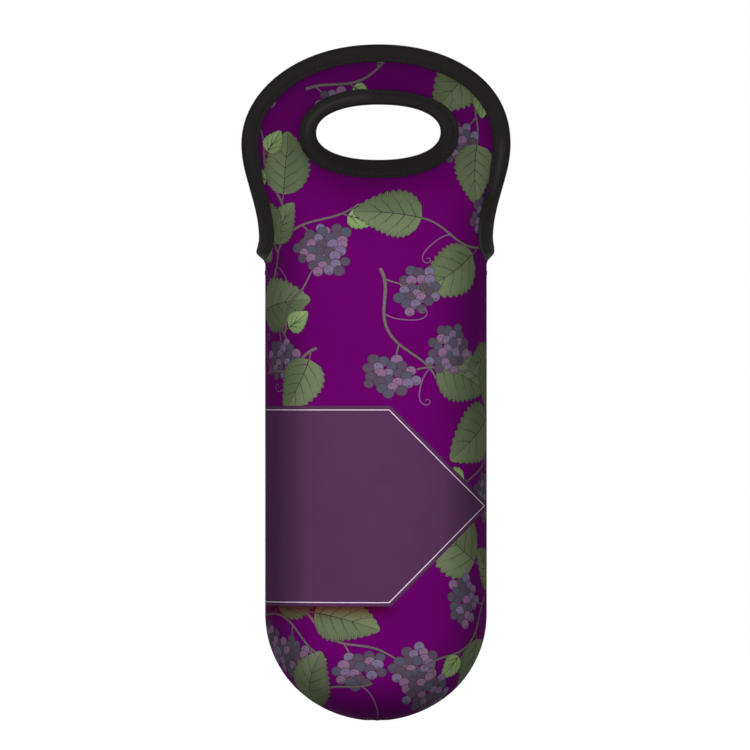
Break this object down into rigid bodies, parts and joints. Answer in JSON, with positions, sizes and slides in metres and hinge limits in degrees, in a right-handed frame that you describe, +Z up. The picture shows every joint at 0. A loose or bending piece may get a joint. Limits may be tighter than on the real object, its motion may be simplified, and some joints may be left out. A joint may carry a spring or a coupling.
{
  "type": "bottle carrier",
  "caption": "Soft foam-backed fabric carrier for a bottle: a rounded pouch whose front and back panels run up into flat handles with bound edges and hand holes.",
  "frame": {"origin": "on the floor under the middle of the rounded bottom, at the lowest point of the seam", "axes": "+Z up along the bottle, +X to the right seen from the front, the front panel faces -Y"},
  "size_m": [0.156, 0.084, 0.392],
  "materials": {
    "printed_jersey": "deep purple knitted jersey with a printed sprig pattern, soft matt sheen",
    "foam": "dark closed-cell neoprene foam, matt cut edges",
    "lining_jersey": "plain black knitted jersey",
    "satin_tape": "black woven binding tape with a soft satin sheen",
    "thread": "black polyester sewing thread"
  },
  "bodies": {
    "pouch": {"front_body_face": "printed_jersey", "front_body_foam": "foam", "front_body_lining": "lining_jersey", "back_body_face": "printed_jersey", "back_body_foam": "foam", "back_body_lining": "lining_jersey", "seam_thread": "thread", "left_bar_tack": "thread", "right_bar_tack": "thread"},
    "front_handle": {"front_handle_face": "printed_jersey", "front_handle_foam": "foam", "front_handle_lining": "lining_jersey", "front_edge_binding": "satin_tape", "front_hole_binding": "satin_tape", "front_edge_stitches": "thread", "front_hole_stitches": "thread"},
    "back_handle": {"back_handle_face": "printed_jersey", "back_handle_foam": "foam", "back_handle_lining": "lining_jersey", "back_edge_binding": "satin_tape", "back_hole_binding": "satin_tape", "back_edge_stitches": "thread", "back_hole_stitches": "thread"}
  },
  "joints": [
    {"name": "front_handle_flex", "type": "hinge", "parent": "pouch", "child": "front_handle", "pos_m": [0, -0.042, 0.266], "axis": [1, 0, 0], "range_deg": [0, 30], "stiffness_Nm_per_rad": 0.3},
    {"name": "back_handle_flex", "type": "hinge", "parent": "pouch", "child": "back_handle", "pos_m": [0, 0.042, 0.266], "axis": [-1, 0, 0], "range_deg": [0, 30], "stiffness_Nm_per_rad": 0.3}
  ]
}
